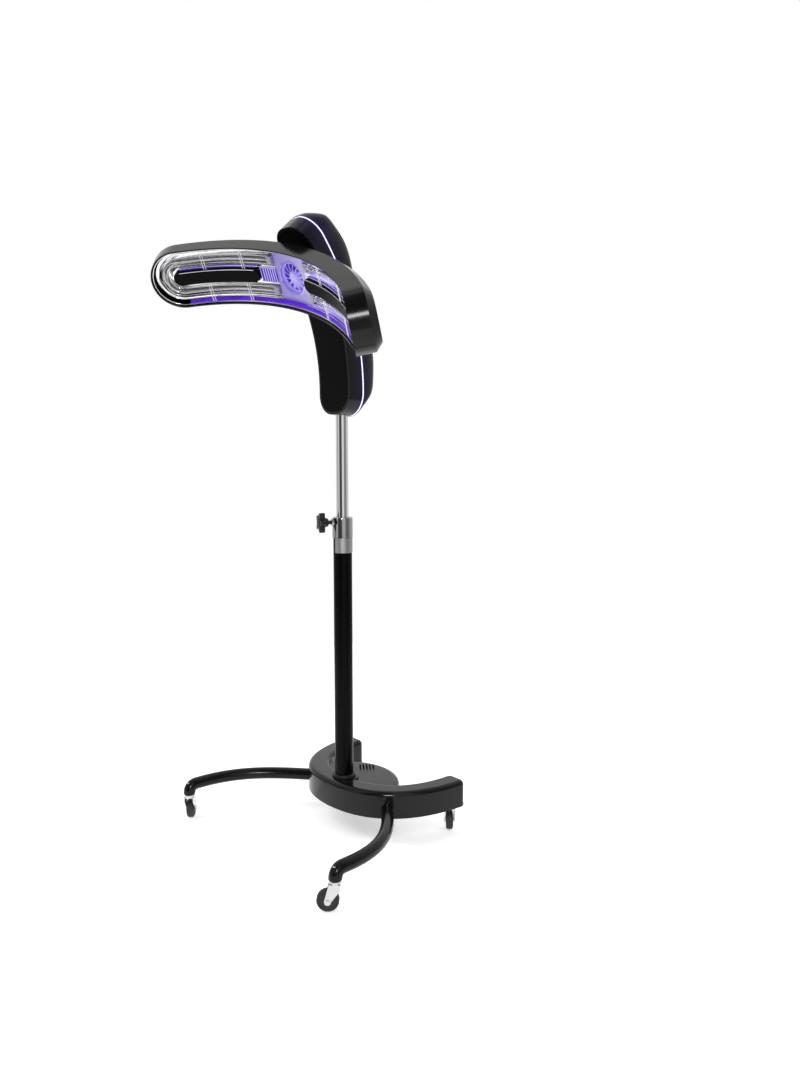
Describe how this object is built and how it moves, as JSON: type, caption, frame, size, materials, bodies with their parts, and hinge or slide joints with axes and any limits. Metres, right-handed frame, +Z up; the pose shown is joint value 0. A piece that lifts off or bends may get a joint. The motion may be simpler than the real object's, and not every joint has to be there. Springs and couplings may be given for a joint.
{
  "type": "hair color processor",
  "caption": "Wheeled salon hair color processor: a bowed infrared lamp arm orbits in front of a curved head on a height-adjustable mast over a horseshoe base with tube legs.",
  "frame": {"origin": "on the floor, under the middle of the whole object's box", "axes": "+Z up along the mast, the client sits on the -Y side, +X to the right of someone who faces the processor from the client's side"},
  "size_m": [0.5768, 0.4532, 1.2351],
  "materials": {
    "gloss_black": "glossy black moulding",
    "satin_black": "satin black moulding",
    "black_paint": "gloss black powder coat",
    "steel": "plain steel",
    "rubber": "black rubber",
    "wheel_rubber": "black caster tread",
    "chrome": "bright chrome",
    "aluminium": "bare aluminium",
    "nylon": "natural nylon",
    "ceramic_white": "white ceramic",
    "lamp_glass": "clear quartz",
    "display_glass": "dark window",
    "violet_light": "translucent light guide",
    "board": "green circuit board"
  },
  "bodies": {
    "base": {"base_cover": "gloss_black", "base_plate": "steel", "mast_socket": "steel", "transformer": "steel", "cord_gland": "rubber", "right_leg": "black_paint", "left_leg": "black_paint", "column": "black_paint", "column_foot_ring": "gloss_black", "column_guide_bush": "nylon", "clamp_collar": "chrome", "column_band": "aluminium"},
    "clamp_knob": {"clamp_knob": "satin_black"},
    "front_right_fork": {"front_right_caster_fork": "chrome"},
    "front_right_wheel": {"front_right_caster_wheel": "wheel_rubber"},
    "front_left_fork": {"front_left_caster_fork": "chrome"},
    "front_left_wheel": {"front_left_caster_wheel": "wheel_rubber"},
    "rear_right_fork": {"rear_right_caster_fork": "chrome"},
    "rear_right_wheel": {"rear_right_caster_wheel": "wheel_rubber"},
    "rear_left_fork": {"rear_left_caster_fork": "chrome"},
    "rear_left_wheel": {"rear_left_caster_wheel": "wheel_rubber"},
    "mast_carrier": {"tube_foot_bush": "nylon"},
    "head": {"sliding_tube": "chrome", "head_front_shell": "gloss_black", "head_back_shell": "gloss_black", "light_strip": "violet_light", "tube_socket": "aluminium", "control_panel": "satin_black", "display_window": "display_glass", "control_board": "board", "bearing_housing": "aluminium", "front_bearing": "steel", "rear_bearing": "steel", "orbit_motor": "steel"},
    "pinion": {"orbit_pinion": "nylon"},
    "arm": {"arm_shell": "gloss_black", "hub_shaft": "steel", "orbit_gear": "nylon", "shaft_nut": "steel", "vent_grille": "satin_black", "fan_duct": "aluminium", "fan_motor": "satin_black", "wire_guard": "chrome", "upper_led_strip": "violet_light", "lower_led_strip": "violet_light", "left_reflector": "chrome", "left_lamp": "lamp_glass", "left_island": "gloss_black", "left_upper_lamp_holder": "ceramic_white", "left_lower_lamp_holder": "ceramic_white", "right_reflector": "chrome", "right_lamp": "lamp_glass", "right_island": "gloss_black", "right_upper_lamp_holder": "ceramic_white", "right_lower_lamp_holder": "ceramic_white"},
    "fan": {"fan_impeller": "violet_light"},
    "power_button": {"power_button": "satin_black"},
    "start_button": {"start_button": "satin_black"},
    "time_up_button": {"time_up_button": "satin_black"},
    "time_down_button": {"time_down_button": "satin_black"}
  },
  "joints": [
    {"name": "clamp_knob_turn", "type": "hinge", "parent": "base", "child": "clamp_knob", "pos_m": [0, 0.05284, 0.6433], "axis": [-0.3746, -0.9272, 0], "range_deg": [0, 360]},
    {"name": "front_right_swivel", "type": "hinge", "parent": "base", "child": "front_right_fork", "pos_m": [0.252, -0.16917, 0.0567], "axis": [0, 0, 1], "continuous": true},
    {"name": "front_right_roll", "type": "hinge", "parent": "front_right_fork", "child": "front_right_wheel", "pos_m": [0.2433, -0.17883, 0.02], "axis": [0.7431, -0.6691, 0], "continuous": true},
    {"name": "front_left_swivel", "type": "hinge", "parent": "base", "child": "front_left_fork", "pos_m": [-0.252, -0.16917, 0.0567], "axis": [0, 0, 1], "continuous": true},
    {"name": "front_left_roll", "type": "hinge", "parent": "front_left_fork", "child": "front_left_wheel", "pos_m": [-0.26166, -0.16047, 0.02], "axis": [-0.6691, -0.7431, 0], "continuous": true},
    {"name": "rear_right_swivel", "type": "hinge", "parent": "base", "child": "rear_right_fork", "pos_m": [0.164, 0.20084, 0.0567], "axis": [0, 0, 1], "continuous": true},
    {"name": "rear_right_roll", "type": "hinge", "parent": "rear_right_fork", "child": "rear_right_wheel", "pos_m": [0.15434, 0.20953, 0.02], "axis": [-0.6691, -0.7431, 0], "continuous": true},
    {"name": "rear_left_swivel", "type": "hinge", "parent": "base", "child": "rear_left_fork", "pos_m": [-0.164, 0.20084, 0.0567], "axis": [0, 0, 1], "continuous": true},
    {"name": "rear_left_roll", "type": "hinge", "parent": "rear_left_fork", "child": "rear_left_wheel", "pos_m": [-0.17366, 0.20953, 0.02], "axis": [-0.6691, -0.7431, 0], "continuous": true},
    {"name": "mast_height", "type": "slide", "parent": "base", "child": "mast_carrier", "axis": [0, 0, 1], "range_m": [-0.12, 0.18]},
    {"name": "head_swivel", "type": "hinge", "parent": "mast_carrier", "child": "head", "pos_m": [0, 0.05284, 0.6], "axis": [0, 0, 1], "range_deg": [-180, 180]},
    {"name": "arm_orbit", "type": "hinge", "parent": "head", "child": "arm", "pos_m": [0, -0.02996, 1.13272], "axis": [0, 0.8536, 0.521], "range_deg": [-107.4, 252.6]},
    {"name": "pinion_turn", "type": "hinge", "parent": "head", "child": "pinion", "pos_m": [0, -0.00909, 1.09854], "axis": [0, 0.8536, 0.521], "range_deg": [-680, 300]},
    {"name": "fan_spin", "type": "hinge", "parent": "arm", "child": "fan", "pos_m": [0, -0.06324, 1.1124], "axis": [0, 0.8536, 0.521], "continuous": true},
    {"name": "power_button_press", "type": "slide", "parent": "head", "child": "power_button", "axis": [0, -0.98, -0.1991], "range_m": [0, 0.001], "stiffness_N_per_m": 600},
    {"name": "start_button_press", "type": "slide", "parent": "head", "child": "start_button", "axis": [0, -0.995, -0.1001], "range_m": [0, 0.001], "stiffness_N_per_m": 600},
    {"name": "time_up_button_press", "type": "slide", "parent": "head", "child": "time_up_button", "axis": [0, -0.9887, -0.1498], "range_m": [0, 0.001], "stiffness_N_per_m": 600},
    {"name": "time_down_button_press", "type": "slide", "parent": "head", "child": "time_down_button", "axis": [0, -0.9887, -0.1498], "range_m": [0, 0.001], "stiffness_N_per_m": 600}
  ],
  "couplings": [
    {"joint": "pinion_turn", "follows": "arm_orbit", "ratio": -2.6667}
  ]
}
